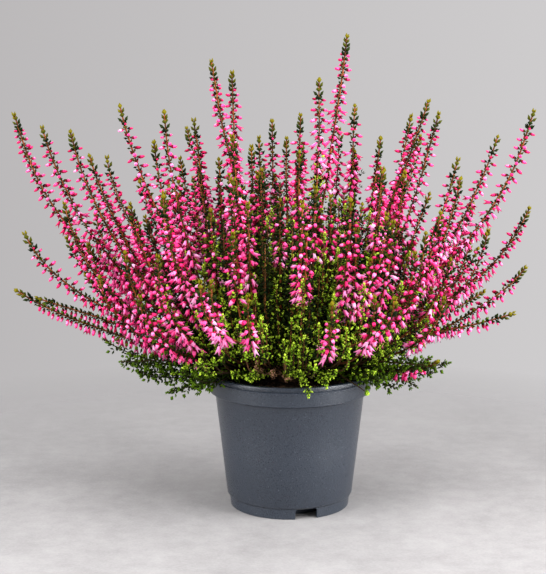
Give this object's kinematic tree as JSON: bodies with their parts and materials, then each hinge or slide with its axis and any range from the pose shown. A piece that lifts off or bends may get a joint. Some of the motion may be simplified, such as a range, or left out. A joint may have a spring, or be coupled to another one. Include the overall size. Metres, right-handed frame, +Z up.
{
  "type": "potted heather plant",
  "caption": "Bushy flowering heather with upright blossom spikes and low green sprays, in a round tapered nursery pot of compost.",
  "frame": {"origin": "middle of the pot's flat underside, on the pot's axis, where it stands", "axes": "+Z up along the pot's axis, -Y towards the viewer of the picture's side, +X to that viewer's right"},
  "size_m": [0.3794, 0.2876, 0.3435],
  "materials": {
    "pot_plastic": "satin anthracite plastic with a fine speckle",
    "compost": "dark moist peat with brown fibres",
    "bark": "thin red-brown bark",
    "blossom": "rose-pink florets along fine leafy stems",
    "foliage": "small plump green leaves"
  },
  "bodies": {
    "root": {"pot": "pot_plastic", "compost": "compost", "stem": "bark", "bough_left_high": "bark", "bough_left_low": "bark", "bough_left_back": "bark", "bough_left_upper": "bark", "bough_middle_left": "bark", "bough_middle_right": "bark", "bough_right_upper": "bark", "bough_right_high": "bark", "bough_right_middle": "bark", "bough_right_low": "bark", "bough_right_back": "bark", "bough_front_upper": "bark", "bough_front_left": "bark", "bough_front_left_low": "bark", "bough_front_middle": "bark", "bough_front_right": "bark", "bough_front_right_low": "bark", "bough_back_left_upper": "bark", "bough_back_upper": "bark", "bough_back_left": "bark", "bough_back_right": "bark", "spikes_left_high": "blossom", "spikes_left_low": "blossom", "spikes_left_back": "blossom", "spikes_left_upper": "blossom", "spikes_middle_left": "blossom", "spikes_middle_right": "blossom", "spikes_right_upper": "blossom", "spikes_right_high": "blossom", "spikes_right_middle": "blossom", "spikes_right_low": "blossom", "spikes_right_back": "blossom", "spikes_front_upper": "blossom", "spikes_front_left": "blossom", "spikes_front_left_low": "blossom", "spikes_front_middle": "blossom", "spikes_front_right": "blossom", "spikes_front_right_low": "blossom", "spikes_back_left_upper": "blossom", "spikes_back_upper": "blossom", "spikes_back_left": "blossom", "spikes_back_right": "blossom", "sprays_left": "foliage", "sprays_front_left": "foliage", "sprays_front": "foliage", "sprays_right": "foliage", "sprays_back_right": "foliage", "sprays_back_left": "foliage"}
  },
  "joints": []
}
